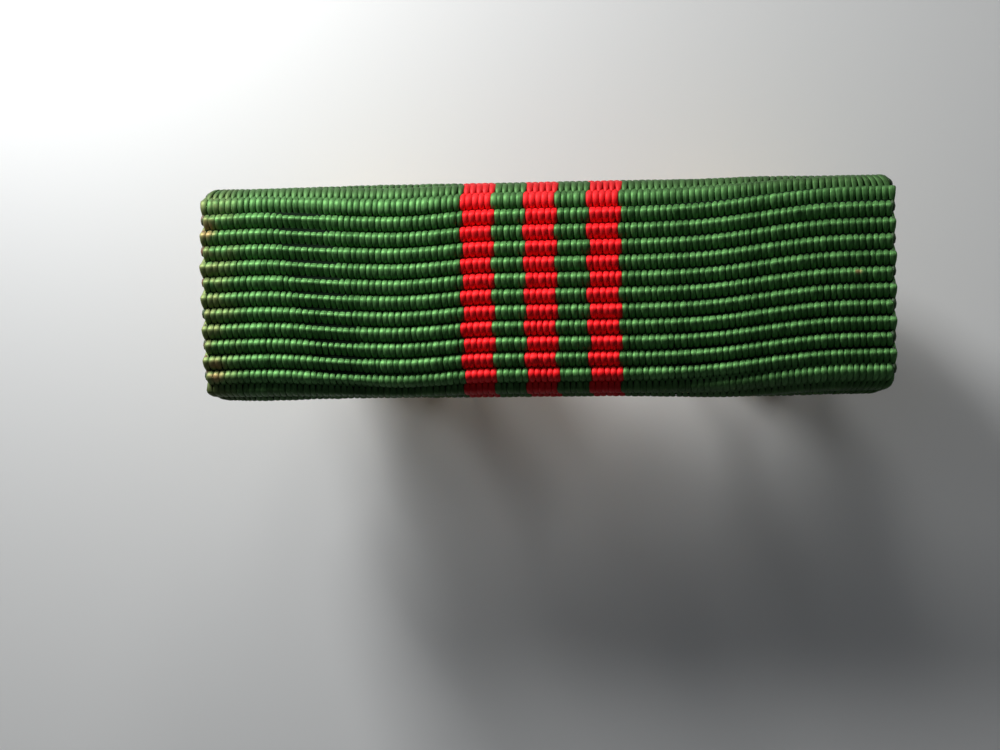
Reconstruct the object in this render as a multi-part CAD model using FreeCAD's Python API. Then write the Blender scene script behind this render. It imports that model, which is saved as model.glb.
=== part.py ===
"""Single ribbon bar with a clutch back, as worn above a uniform pocket.

One ribbon, woven with coarse crosswise ribs, is wrapped round a pressed brass former. Its two cut ends turn
in round the former's lips, where a back plate pressed into the former pinches them. Two headed posts stand
out of the back plate, each with a collar at its root. A butterfly clutch pushes onto each post: a base disc
crimped over a cover, with two wings that pivot in the cover and grip the post, and a dished spring washer
that closes them.

Frame, in millimetres: +X along the ribbon's width, which is the bar's long side. +Y towards the bar's upper
edge as worn. +Z out of the bar's face. The origin is on the surface that the bar lies on, face up, under the
bar's middle.
"""

import math
import os

import FreeCAD
import Part

V = FreeCAD.Vector
X_AXIS, Y_AXIS, Z_AXIS = V(1, 0, 0), V(0, 1, 0), V(0, 0, 1)
ORIGIN = V(0, 0, 0)

# ---- Ribbon ----------------------------------------------------------------------------------------
RIBBON_WIDTH = 34.9  # selvedge to selvedge, 1 3/8 in
RIBBON_THICKNESS = 0.75
WARP_ENDS = {"field": 42, "stripe": 5, "gap": 5}  # visible warp threads in each colour band
RIBBON_CORNER = 0.9  # the wrapped ribbon's rounding at the bar's four corners
HEM_END_GAP = 0.05  # the cut end stops this short of the rim's curve, inside the former

# ---- Former ----------------------------------------------------------------------------------------
FORMER_HEIGHT = 9.53  # long edge to long edge, 3/8 in
FORMER_DEPTH = 2.0
FORMER_SHEET = 0.4
FORMER_CROWN = 0.2  # rise of the face from its edges to its middle line
FORMER_END_GAP = 0.35  # the former stops this short of each selvedge
FORMER_CORNER = 0.8
LIP_FLAT = 0.75  # flat stretch of each lip, from the rim's curve to the rounded edge

# ---- Back plate ------------------------------------------------------------------------------------
PLATE_SHEET = 0.4
PLATE_PROUD = 0.1  # the plate stands this far out of the ribbon's back
PLATE_END_GAP = 0.2  # the plate stops this short of each end of the former
PLATE_CORNER = 0.9
PINCH_CLEARANCE = 0.02

# ---- Posts -----------------------------------------------------------------------------------------
POST_SPACING = 19.05  # 3/4 in
POST_RADIUS = 0.55
POST_HEAD_MARGIN = 0.15  # between the head and the back plate's walls
POST_HEAD_THICKNESS = 0.35
POST_STICK_OUT = 4.6  # shank below the collar
POST_POINT = 0.9
POST_FIT = 0.02
COLLAR_WALL = 0.3
COLLAR_LENGTH = 2.15  # leaves room for cloth between the plate and the clutch
COLLAR_SEAT = 0.12  # depth of the shallow recess in the plate that the collar stands in
COLLAR_SEAT_FIT = 0.03

# ---- Clutches --------------------------------------------------------------------------------------
CLUTCH_HEIGHT = 5.6  # base disc's face to the wings' tips
CLUTCH_SHEET = 0.32
CLUTCH_BORE_CLEARANCE = 0.06
CRIMP_WIDTH = 0.65
CRIMP_FIT = 0.02
CRIMP_ROUNDING = 0.2
COVER_LEDGE = 0.8  # flange showing between the dome and the crimped rim
COVER_SHOULDER = 0.5
TIP_HOLE_CLEARANCE = 0.3

# ---- Wings -----------------------------------------------------------------------------------------
WING_SHEET = 0.32
WING_PIVOT_X = 1.5
WING_PIVOT_DEPTH = 2.2  # below the base disc's face
WING_KNUCKLE_RADIUS = 0.42
WING_NECK_WIDTH = 3.2
WING_PADDLE_WIDTH = 5.4
WING_PADDLE_CORNER = 1.2
WING_SPREAD = 4.4  # the tip's distance from the post's axis
WING_NECK_OUT = 0.5
PIVOT_TO_DOME = 0.7  # from the pivot to the dome's top
PADDLE_CLEARANCE = 0.15  # between the dome's top and the paddle
JAW_GAP = 0.1  # between the two wings' jaws
JAW_DEPTH = 1.05  # the jaws' tips, below the base disc's face
JAW_GRIP_CLEARANCE = 0.04
TRUNNION_RADIUS = 0.24
TRUNNION_CLEARANCE = 0.03
EAR_THICKNESS = 0.3
EAR_MARGIN = 0.18  # metal round the trunnion's hole
EAR_TO_DOME = 0.15
SIDE_CLEARANCE = 0.12
SLOT_CLEARANCE = 0.2
GRIP_RIDGES = 3
GRIP_RIDGE_RADIUS = 0.13
GRIP_RIDGE_PITCH = 0.55

# ---- Spring washer ---------------------------------------------------------------------------------
SPRING_SHEET = 0.14
SPRING_MARGIN = 0.3  # to the post and to the dome's wall
SPRING_GAP = 0.03  # to the base disc and to the jaws

OVERCUT = 1.0  # how far a cutting shape runs past what it cuts

# ---- Places that follow from the sizes -------------------------------------------------------------
BANDS = ["field", "stripe", "gap", "stripe", "gap", "stripe", "field"]
WARP_PITCH = RIBBON_WIDTH / sum(WARP_ENDS[band] for band in BANDS)
BAND_WIDTHS = [WARP_PITCH * WARP_ENDS[band] for band in BANDS]
DISC_FACE = CLUTCH_HEIGHT
PLATE_BACK = DISC_FACE + COLLAR_LENGTH
RIBBON_BACK = PLATE_BACK + PLATE_PROUD
FORMER_BACK = RIBBON_BACK + RIBBON_THICKNESS
RIM_RADIUS = FORMER_DEPTH / 2
RIM_Y = FORMER_HEIGHT / 2 - RIM_RADIUS
MID_DEPTH = FORMER_BACK + RIM_RADIUS
LIP_Y = RIM_Y - LIP_FLAT
HEM_END_Y = RIM_Y - HEM_END_GAP
TOP = MID_DEPTH + RIM_RADIUS + FORMER_CROWN + RIBBON_THICKNESS
HEAD_SEAT = PLATE_BACK + PLATE_SHEET
PLATE_HEIGHT = 2 * (LIP_Y - FORMER_SHEET / 2 - RIBBON_THICKNESS - PINCH_CLEARANCE)
FORMER_LENGTH = RIBBON_WIDTH - 2 * FORMER_END_GAP
PLATE_LENGTH = FORMER_LENGTH - 2 * PLATE_END_GAP
POST_HEAD_RADIUS = PLATE_HEIGHT / 2 - PLATE_SHEET - POST_HEAD_MARGIN
COLLAR_BORE = POST_RADIUS + POST_FIT
COLLAR_RADIUS = COLLAR_BORE + COLLAR_WALL
CLUTCH_BORE = POST_RADIUS + CLUTCH_BORE_CLEARANCE
TIP_HOLE_RADIUS = POST_RADIUS + TIP_HOLE_CLEARANCE
TRUNNION_HOLE = TRUNNION_RADIUS + TRUNNION_CLEARANCE
EAR_RADIUS = TRUNNION_HOLE + EAR_MARGIN
EAR_NEAR = WING_NECK_WIDTH / 2 + SIDE_CLEARANCE
EAR_FAR = EAR_NEAR + EAR_THICKNESS
DOME_RADIUS = math.hypot(WING_PIVOT_X + EAR_RADIUS, EAR_FAR) + EAR_TO_DOME + CLUTCH_SHEET
CLUTCH_RADIUS = DOME_RADIUS + COVER_LEDGE + CRIMP_WIDTH
PIVOT_Z = DISC_FACE - WING_PIVOT_DEPTH
DOME_TOP = PIVOT_Z - PIVOT_TO_DOME
SIDES = {"left": -POST_SPACING / 2, "right": POST_SPACING / 2}


def yz(y, z):
    """A point of a cross-section, which lies in the plane X = 0."""
    return V(0, y, z)


def crown_arc(offset):
    """The face's arc, raised by offset: its centre, its radius and the angle where it meets the rims.

    The arc is tangent to both rims, so every offset of the outline keeps the same centres.
    """
    reach = (RIM_Y**2 + FORMER_CROWN**2) / (2 * FORMER_CROWN)
    centre = yz(0, MID_DEPTH + FORMER_CROWN - reach)
    return centre, RIM_RADIUS + reach + offset, math.asin(RIM_Y / reach)


def wrap_edges(offset):
    """The outline round the former from its right lip over the face to its left lip, as five edges."""
    centre, radius, tilt = crown_arc(offset)
    rim = RIM_RADIUS + offset
    back = MID_DEPTH - rim
    edges, joins = [], []
    for sign in (1, -1):
        join = yz(sign * (RIM_Y + rim * math.sin(tilt)), MID_DEPTH + rim * math.cos(tilt))
        side = yz(sign * (RIM_Y + rim), MID_DEPTH)
        edges.append(Part.LineSegment(yz(sign * LIP_Y, back), yz(sign * RIM_Y, back)).toShape())
        edges.append(Part.Arc(yz(sign * RIM_Y, back), side, join).toShape())
        joins.append(join)
    edges.append(Part.Arc(joins[0], yz(0, centre.z + radius), joins[1]).toShape())
    return edges


def lip_arc(sign, offset):
    """The half turn round a lip's rounded edge, offset from the metal."""
    middle = FORMER_BACK + FORMER_SHEET / 2
    reach = FORMER_SHEET / 2 + offset
    return Part.Arc(
        yz(sign * LIP_Y, middle - reach),
        yz(sign * (LIP_Y - reach), middle),
        yz(sign * LIP_Y, middle + reach),
    ).toShape()


def hem_line(sign, offset):
    """The straight stretch of the turned-in hem on the lip's inner side, offset from the metal."""
    height = FORMER_BACK + FORMER_SHEET + offset
    return Part.LineSegment(yz(sign * LIP_Y, height), yz(sign * HEM_END_Y, height)).toShape()


def face_of(edges):
    """A flat face bounded by edges given in any order."""
    return Part.Face(Part.Wire(Part.__sortEdges__(edges)))


def along_x(face, start, length):
    """A cross-section drawn out along X."""
    face = face.copy()
    face.translate(V(start, 0, 0))
    return face.extrude(V(length, 0, 0))


def plan_block(length, height, corner, low, high):
    """A block with rounded corners in plan, centred on the origin, from low to high in Z."""
    block = Part.makeBox(length, height, high - low, V(-length / 2, -height / 2, low))
    upright = [e for e in block.Edges if abs(e.tangentAt(e.FirstParameter).z) > 0.9]
    return block.makeFillet(corner, upright)


def turned(points, corners=()):
    """A solid turned about Z from (radius, z) points. corners lists (z, radius) edges to round."""
    outline = Part.makePolygon([V(r, 0, z) for r, z in [*points, points[0]]])
    solid = Part.Face(outline).revolve(ORIGIN, Z_AXIS, 360)
    for z, radius in corners:
        circles = [e for e in solid.Edges if isinstance(e.Curve, Part.Circle)]
        level = [e for e in circles if abs(e.Curve.Center.z - z) < CRIMP_FIT]
        widest = max(level, key=lambda e: e.Curve.Radius)
        solid = solid.makeFillet(radius, [widest])
    return solid


def y_rod(radius, length, x, z):
    """A round rod along Y, centred on Y = 0."""
    return Part.makeCylinder(radius, length, V(x, -length / 2, z), Y_AXIS)


# ---- Bar: ribbon, former, back plate ---------------------------------------------------------------
def ribbon_section():
    """The ribbon's cross-section: round the outside of the former, round each lip and back along it."""
    edges = wrap_edges(0) + wrap_edges(RIBBON_THICKNESS)
    hem_low = FORMER_BACK + FORMER_SHEET
    for sign in (1, -1):
        for offset in (0, RIBBON_THICKNESS):
            edges += [lip_arc(sign, offset), hem_line(sign, offset)]
        cut_end = [yz(sign * HEM_END_Y, height) for height in (hem_low, hem_low + RIBBON_THICKNESS)]
        edges.append(Part.LineSegment(*cut_end).toShape())
    return face_of(edges)


def ribbon_bands():
    """The ribbon cut into its woven colour bands: green solids and red solids."""
    height = FORMER_HEIGHT + 2 * RIBBON_THICKNESS
    outline = plan_block(RIBBON_WIDTH, height, RIBBON_CORNER, RIBBON_BACK - OVERCUT, TOP + OVERCUT)
    section = ribbon_section()
    green, red = [], []
    start = -RIBBON_WIDTH / 2
    for band, width in zip(BANDS, BAND_WIDTHS):
        woven = red if band == "stripe" else green
        woven.append(along_x(section, start, width).common(outline))
        start += width
    return Part.makeCompound(green), Part.makeCompound(red)


def front_former():
    """The pressed former: crowned face, rolled rims and two lips turned in along the back."""
    edges = wrap_edges(0) + wrap_edges(-FORMER_SHEET)
    edges += [lip_arc(sign, 0) for sign in (1, -1)]
    body = along_x(face_of(edges), -FORMER_LENGTH / 2, FORMER_LENGTH)
    outline = plan_block(FORMER_LENGTH, FORMER_HEIGHT, FORMER_CORNER, FORMER_BACK - OVERCUT, TOP + OVERCUT)
    return body.common(outline)


def back_plate():
    """The shallow tray pressed into the former's mouth, with a hole and a collar recess for each post."""
    wall_top = MID_DEPTH + RIM_RADIUS - FORMER_SHEET - PINCH_CLEARANCE
    tray = plan_block(PLATE_LENGTH, PLATE_HEIGHT, PLATE_CORNER, PLATE_BACK, wall_top)
    length, height = PLATE_LENGTH - 2 * PLATE_SHEET, PLATE_HEIGHT - 2 * PLATE_SHEET
    hollow = plan_block(length, height, PLATE_CORNER - PLATE_SHEET, HEAD_SEAT, wall_top + OVERCUT)
    cuts = [hollow]
    for x in SIDES.values():
        cuts.append(Part.makeCylinder(COLLAR_BORE, FORMER_DEPTH, V(x, 0, HEAD_SEAT - FORMER_DEPTH / 2)))
        recess_radius = COLLAR_RADIUS + COLLAR_SEAT_FIT
        cuts.append(Part.makeCylinder(recess_radius, OVERCUT, V(x, 0, PLATE_BACK + COLLAR_SEAT - OVERCUT)))
    return tray.cut(cuts)


def post(x):
    """A headed post: the head lies in the back plate's tray, the shank runs out through the collar."""
    head_top = HEAD_SEAT + POST_HEAD_THICKNESS
    tip = DISC_FACE - POST_STICK_OUT
    solid = turned(
        [
            (0, head_top),
            (POST_HEAD_RADIUS, head_top),
            (POST_HEAD_RADIUS, HEAD_SEAT),
            (POST_RADIUS, HEAD_SEAT),
            (POST_RADIUS, tip + POST_POINT),
            (POST_RADIUS / 4, tip),
            (0, tip),
        ],
        [(head_top, POST_HEAD_THICKNESS / 2)],
    )
    solid.translate(V(x, 0, 0))
    return solid


def collar(x):
    """The ring on a post's root. It stands in the plate's recess, and the clutch stops on its other end."""
    root = PLATE_BACK + COLLAR_SEAT
    solid = Part.makeCylinder(COLLAR_RADIUS, root - DISC_FACE, V(0, 0, DISC_FACE))
    solid = solid.cut(Part.makeCylinder(COLLAR_BORE, root, V(0, 0, OVERCUT)))
    solid.translate(V(x, 0, 0))
    return solid


# ---- Clutch ----------------------------------------------------------------------------------------
def clutch_base(x):
    """The base disc. Its rim is rolled round the cover's flange, so it is three sheets thick there."""
    lip_low = DISC_FACE - 3 * CLUTCH_SHEET
    solid = turned(
        [
            (CLUTCH_BORE, DISC_FACE),
            (CLUTCH_RADIUS, DISC_FACE),
            (CLUTCH_RADIUS, lip_low),
            (CLUTCH_RADIUS - CRIMP_WIDTH, lip_low),
            (CLUTCH_RADIUS - CRIMP_WIDTH, lip_low + CLUTCH_SHEET),
            (CLUTCH_RADIUS - CLUTCH_SHEET, lip_low + CLUTCH_SHEET),
            (CLUTCH_RADIUS - CLUTCH_SHEET, DISC_FACE - CLUTCH_SHEET),
            (CLUTCH_BORE, DISC_FACE - CLUTCH_SHEET),
        ],
        [(DISC_FACE, CRIMP_ROUNDING), (lip_low, CRIMP_ROUNDING)],
    )
    solid.translate(V(x, 0, 0))
    return solid


def wing_ears(sign):
    """Two tabs lanced from one side of the dome, and the rod that cuts their holes for the trunnions."""
    x = sign * WING_PIVOT_X
    low = DOME_TOP + CLUTCH_SHEET / 2
    tabs = []
    for near in (EAR_NEAR, -EAR_FAR):
        tab = Part.makeBox(2 * EAR_RADIUS, EAR_THICKNESS, PIVOT_Z - low, V(x - EAR_RADIUS, near, low))
        tabs.append(tab.fuse(Part.makeCylinder(EAR_RADIUS, EAR_THICKNESS, V(x, near, PIVOT_Z), Y_AXIS)))
    return tabs, y_rod(TRUNNION_HOLE, 2 * (EAR_FAR + OVERCUT), x, PIVOT_Z)


def wing_slot(sign):
    """The opening in the dome's top that a wing's neck swings in."""
    near = WING_PIVOT_X - WING_KNUCKLE_RADIUS - SLOT_CLEARANCE
    far = WING_PIVOT_X + WING_NECK_OUT + WING_SHEET + SLOT_CLEARANCE
    start = near if sign > 0 else -far
    low = DOME_TOP - CLUTCH_SHEET / 2
    return Part.makeBox(far - near, 2 * EAR_NEAR, 2 * CLUTCH_SHEET, V(start, -EAR_NEAR, low))


def clutch_cover(x):
    """The domed cover: a flange held in the base's rim, two slots for the wings and four ears inside."""
    flange_top = DISC_FACE - CLUTCH_SHEET - CRIMP_FIT / 2
    flange_low = flange_top - CLUTCH_SHEET + CRIMP_FIT
    flange_radius = CLUTCH_RADIUS - CLUTCH_SHEET - CRIMP_FIT
    inner = DOME_RADIUS - CLUTCH_SHEET
    inner_top = DOME_TOP + CLUTCH_SHEET
    cover = turned(
        [
            (inner, flange_top),
            (flange_radius, flange_top),
            (flange_radius, flange_low),
            (DOME_RADIUS, flange_low),
            (DOME_RADIUS, DOME_TOP),
            (TIP_HOLE_RADIUS, DOME_TOP),
            (TIP_HOLE_RADIUS, inner_top),
            (inner, inner_top),
        ],
        [(DOME_TOP, COVER_SHOULDER), (inner_top, COVER_SHOULDER - CLUTCH_SHEET)],
    )
    for sign in (1, -1):
        tabs, bore = wing_ears(sign)
        cover = cover.fuse([tab.cut(bore) for tab in tabs]).cut(wing_slot(sign))
    cover = cover.removeSplitter()
    cover.translate(V(x, 0, 0))
    return cover


def jaw_spring(x):
    """The dished spring washer between the base disc and the jaws."""
    rim_top = DISC_FACE - CLUTCH_SHEET - SPRING_GAP
    eye_low = DISC_FACE - JAW_DEPTH + WING_SHEET / 2 + SPRING_GAP
    outer = DOME_RADIUS - CLUTCH_SHEET - SPRING_MARGIN
    inner = POST_RADIUS + SPRING_MARGIN
    solid = turned(
        [
            (inner, eye_low + SPRING_SHEET),
            (outer, rim_top),
            (outer, rim_top - SPRING_SHEET),
            (inner, eye_low),
        ],
    )
    solid.translate(V(x, 0, 0))
    return solid


def bent_strip(points, thickness, width):
    """A strip of sheet along (x, z) points, mitred at each bend and centred on Y = 0."""
    runs = [V(b[0] - a[0], 0, b[1] - a[1]).normalize() for a, b in zip(points, points[1:])]
    left, right = [], []
    for number, (x, z) in enumerate(points):
        before, after = runs[max(number - 1, 0)], runs[min(number, len(runs) - 1)]
        along = (before + after).normalize()
        across = V(-along.z, 0, along.x) * (thickness / 2 / before.dot(along))
        left.append(V(x, -width / 2, z) + across)
        right.append(V(x, -width / 2, z) - across)
    outline = left + right[::-1]
    return Part.Face(Part.makePolygon([*outline, outline[0]])).extrude(V(0, width, 0))


def wing_paddle(neck, tip):
    """The paddle that a finger presses, from the neck to its rounded tip, with grip ridges across it."""
    paddle = bent_strip([neck, tip], WING_SHEET, WING_PADDLE_WIDTH)
    across_sheet = [e for e in paddle.Edges if abs(e.Length - WING_SHEET) < CRIMP_FIT]
    tip_corners = sorted(across_sheet, key=lambda e: e.CenterOfMass.z)[:2]
    paddle = paddle.makeFillet(WING_PADDLE_CORNER, tip_corners)
    start, end = V(neck[0], 0, neck[1]), V(tip[0], 0, tip[1])
    along = (end - start).normalize()
    surface = (start + end) / 2 + V(-along.z, 0, along.x) * (WING_SHEET / 2)
    ridge_length = WING_PADDLE_WIDTH - 2 * WING_PADDLE_CORNER
    for number in range(GRIP_RIDGES):
        at = surface + along * ((number - (GRIP_RIDGES - 1) / 2) * GRIP_RIDGE_PITCH)
        paddle = paddle.fuse(y_rod(GRIP_RIDGE_RADIUS, ridge_length, at.x, at.z))
    return paddle


def wing(x, sign):
    """One wing on the sign side of its post: a notched jaw, a knuckle with two trunnions, and a paddle."""
    jaw = (JAW_GAP / 2 + WING_SHEET / 2, DISC_FACE - JAW_DEPTH)
    neck = (WING_PIVOT_X + WING_NECK_OUT, DOME_TOP - PADDLE_CLEARANCE)
    slope = math.atan2(WING_SPREAD - neck[0], neck[1])
    tip = (WING_SPREAD, math.sin(slope) * WING_SHEET / 2)
    solid = bent_strip([jaw, (WING_PIVOT_X, PIVOT_Z), neck], WING_SHEET, WING_NECK_WIDTH)
    solid = solid.fuse(
        [
            wing_paddle(neck, tip),
            y_rod(WING_KNUCKLE_RADIUS, WING_NECK_WIDTH, WING_PIVOT_X, PIVOT_Z),
            y_rod(TRUNNION_RADIUS, 2 * EAR_FAR, WING_PIVOT_X, PIVOT_Z),
        ]
    )
    solid = solid.cut(Part.makeCylinder(POST_RADIUS + JAW_GRIP_CLEARANCE, DISC_FACE)).removeSplitter()
    if sign < 0:
        solid = solid.rotated(ORIGIN, Z_AXIS, 180)
    solid.translate(V(x, 0, 0))
    return solid


def all_nodes():
    """Every sub-part by node name."""
    green, red = ribbon_bands()
    nodes = {
        "ribbon_green_bands": green,
        "ribbon_red_stripes": red,
        "front_former": front_former(),
        "back_plate": back_plate(),
    }
    for side, x in SIDES.items():
        nodes[f"post_{side}"] = post(x)
        nodes[f"post_collar_{side}"] = collar(x)
        nodes[f"clutch_base_{side}"] = clutch_base(x)
        nodes[f"clutch_cover_{side}"] = clutch_cover(x)
        nodes[f"jaw_spring_{side}"] = jaw_spring(x)
        outwards = 1 if x > 0 else -1
        nodes[f"wing_outer_{side}"] = wing(x, outwards)
        nodes[f"wing_inner_{side}"] = wing(x, -outwards)
    return nodes


def main():
    """Builds every node, prints its volume and writes it as one STEP file."""
    os.makedirs("parts", exist_ok=True)
    for name, shape in all_nodes().items():
        if not shape.isValid():
            raise ValueError(f"{name} is not a valid shape")
        shape.exportStep(f"parts/{name}.step")
        print(f"{name}: {len(shape.Solids)} solids, {shape.Volume:.2f} mm3")


main()
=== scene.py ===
"""Looks of a single service ribbon bar with a clutch back.

The ribbon is woven here thread by thread: warp threads pass over and under thick weft cords, which makes the
crosswise ribs, and the whole cloth is wrapped round the former and turned in over its lips. The metal parts
keep the shapes that they come with and get aged brass, nickel and bronze finishes.

Lengths are in metres. +X runs along the bar, +Y towards its upper edge, +Z out of its face.
"""

import logging
import math
from dataclasses import dataclass, field
from enum import Enum

import bmesh
import bpy
import numpy as np
from mathutils import Euler, Matrix, Vector


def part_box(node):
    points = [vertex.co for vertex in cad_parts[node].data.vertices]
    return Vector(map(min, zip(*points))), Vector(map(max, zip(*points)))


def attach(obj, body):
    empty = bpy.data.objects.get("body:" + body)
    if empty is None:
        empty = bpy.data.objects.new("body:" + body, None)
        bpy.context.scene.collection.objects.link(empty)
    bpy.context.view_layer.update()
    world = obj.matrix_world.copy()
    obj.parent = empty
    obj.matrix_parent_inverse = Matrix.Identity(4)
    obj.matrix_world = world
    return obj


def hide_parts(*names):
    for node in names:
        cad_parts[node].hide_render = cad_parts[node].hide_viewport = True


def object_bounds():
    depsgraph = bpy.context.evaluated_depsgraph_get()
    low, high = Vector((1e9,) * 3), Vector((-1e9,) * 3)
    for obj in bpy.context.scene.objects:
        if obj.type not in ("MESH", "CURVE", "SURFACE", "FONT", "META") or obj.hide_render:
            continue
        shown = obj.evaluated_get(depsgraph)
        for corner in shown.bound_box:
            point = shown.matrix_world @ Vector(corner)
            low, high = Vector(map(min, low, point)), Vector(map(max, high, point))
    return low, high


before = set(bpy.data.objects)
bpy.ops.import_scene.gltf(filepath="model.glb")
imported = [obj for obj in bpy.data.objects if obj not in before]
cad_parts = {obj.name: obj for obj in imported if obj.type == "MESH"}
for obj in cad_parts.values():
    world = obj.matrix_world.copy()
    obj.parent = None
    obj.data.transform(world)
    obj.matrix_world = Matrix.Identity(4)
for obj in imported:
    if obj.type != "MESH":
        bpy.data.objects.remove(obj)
CAD_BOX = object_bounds()

MM = 0.001
LOG = logging.getLogger("ribbon_bar")
SIDE_NAMES = ("left", "right")
STRAIGHT = 1e-9  # a run that bends less than this is taken as straight


class Dye(Enum):
    """The two colours of the ribbon's silk, and the material slot that each takes its finish from."""

    GREEN = "ribbon_green"
    RED = "ribbon_red"


class Lay(Enum):
    """Whether a warp thread rises over the even weft cords or over the odd ones."""

    OVER_EVEN = 1
    OVER_ODD = -1


def smooth_step(values: np.ndarray) -> np.ndarray:
    """An S curve from 0 to 1 as values go from 0 to 1, level outside."""
    t = np.clip(values, 0, 1)
    return t * t * (3 - 2 * t)


@dataclass
class SoftLine:
    """A gentle curve through a few given knots, rounded off between them.

    Attributes:
        knots: (place, value) pairs in rising order of place.
        blur: how far the corners at the knots are rounded, in the places' unit.
    """

    knots: tuple[tuple[float, float], ...]
    blur: float

    def __post_init__(self) -> None:
        """Works out the rounded curve once, on a fine grid."""
        places, values = np.array(self.knots).T
        self.grid = np.linspace(places[0], places[-1], 400)
        spread = np.abs(self.grid[:, None] - self.grid[None, :]) / self.blur
        weights = np.exp(-(spread**2))
        self.curve = weights @ np.interp(self.grid, places, values) / weights.sum(1)

    def at(self, places: np.ndarray) -> np.ndarray:
        """The curve's value at each place."""
        return np.interp(places, self.grid, self.curve)


# ---- Shaders ---------------------------------------------------------------------------------------
class Recipe:
    """A material's node tree, with short calls that add nodes and join them."""

    def __init__(self, name: str) -> None:
        """Starts an empty material that ends in a Principled shader.

        Args:
            name: the material's name.
        """
        self.material = bpy.data.materials.new(name)
        self.material.use_nodes = True
        self.tree = self.material.node_tree
        self.shader = self.tree.nodes["Principled BSDF"]

    def node(self, kind: str, settings: dict | None = None, **inputs) -> bpy.types.Node:
        """Adds a node.

        Args:
            kind: the node's type, without the ShaderNode prefix.
            settings: the node's own properties by name.
            **inputs: sockets by name or, as in_0, by number. Each gets a number, colour or another socket.

        Returns:
            The new node.
        """
        made = self.tree.nodes.new(f"ShaderNode{kind}")
        for name, value in (settings or {}).items():
            setattr(made, name, value)
        for name, value in inputs.items():
            socket = made.inputs[int(name[3:])] if name.startswith("in_") else made.inputs[name]
            self.feed(socket, value)
        return made

    def feed(self, socket: bpy.types.NodeSocket, value: object) -> None:
        """Joins another node's socket to this one, or sets this one's value.

        Args:
            socket: the socket to feed.
            value: another node's output socket, a number or a colour.
        """
        if isinstance(value, bpy.types.NodeSocket):
            self.tree.links.new(value, socket)
        else:
            socket.default_value = value

    def places(self, scale: tuple[float, float, float] = (1, 1, 1)) -> bpy.types.NodeSocket:
        """Object coordinates, stretched by scale."""
        source = self.node("TexCoord").outputs["Object"]
        return self.node("Mapping", Vector=source, Scale=scale).outputs["Vector"]

    def attribute(self, name: str, output: str) -> bpy.types.NodeSocket:
        """One of the mesh's own attributes."""
        return self.node("Attribute", {"attribute_name": name}).outputs[output]

    def noise(self, where: bpy.types.NodeSocket, scale: float, detail: float = 3) -> bpy.types.NodeSocket:
        """Cloudy noise from 0 to 1."""
        made = self.node("TexNoise", Vector=where, Scale=scale, Detail=detail, Roughness=0.6)
        return made.outputs["Fac"]

    def math(self, operation: str, *values: object) -> bpy.types.NodeSocket:
        """A Math node's result."""
        inputs = {f"in_{number}": value for number, value in enumerate(values)}
        return self.node("Math", {"operation": operation}, **inputs).outputs[0]

    def ramp(
        self, value: object, low: float, high: float, start: float = 0, end: float = 1
    ) -> bpy.types.NodeSocket:
        """Maps a value to an S curve that is level outside its two limits.

        Args:
            value: the number or socket to map.
            low: where the curve leaves start.
            high: where it reaches end.
            start: the result at and before low.
            end: the result at and after high.

        Returns:
            The mapped value's socket.
        """
        made = self.node("MapRange", {"interpolation_type": "SMOOTHSTEP"}, in_0=value)
        for number, limit in enumerate((low, high, start, end), start=1):
            made.inputs[number].default_value = limit
        return made.outputs[0]

    def mix(self, share: object, first: object, second: object) -> bpy.types.NodeSocket:
        """Mixes two colours.

        Args:
            share: the second colour's share, from 0 to 1.
            first: the first colour.
            second: the second colour.

        Returns:
            The mixed colour's socket.
        """
        made = self.node("Mix", {"data_type": "RGBA"})
        self.feed(made.inputs[0], share)
        self.feed(made.inputs[6], first)
        self.feed(made.inputs[7], second)
        return made.outputs[2]

    def spot(self, centre: tuple[float, float, float], inner: float, outer: float) -> bpy.types.NodeSocket:
        """A round mark about a point: 1 within inner of it, fading to 0 at outer."""
        away = self.node("VectorMath", {"operation": "DISTANCE"}, in_0=self.places(), in_1=centre)
        return self.ramp(away.outputs["Value"], inner, outer, 1, 0)

    def bump(self, height: bpy.types.NodeSocket, depth: float, strength: float = 1) -> None:
        """Gives the shader a relief of that depth in metres."""
        made = self.node("Bump", Height=height, Distance=depth, Strength=strength)
        self.feed(self.shader.inputs["Normal"], made.outputs["Normal"])

    def set(self, **sockets) -> None:
        """Sets or feeds the shader's sockets. An underscore in a name stands for a space."""
        for name, value in sockets.items():
            self.feed(self.shader.inputs[name.replace("_", " ")], value)


@dataclass(frozen=True)
class Stain:
    """A soiled place on the ribbon's face.

    Attributes:
        along: its distance from the left end.
        up: its height up the bar, from the middle line.
        core: radius within which it is full.
        fringe: radius at which it has faded out.
    """

    along: float
    up: float
    core: float
    fringe: float


STAINS = (
    Stain(0.3 * MM, 3.4 * MM, 0.15 * MM, 0.75 * MM),
    Stain(0.55 * MM, -3.95 * MM, 0.3 * MM, 0.75 * MM),
    Stain(0.6 * MM, -4.75 * MM, 0.3 * MM, 0.7 * MM),
    Stain(33.15 * MM, 0.65 * MM, 0.02 * MM, 0.26 * MM),
)


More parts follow.
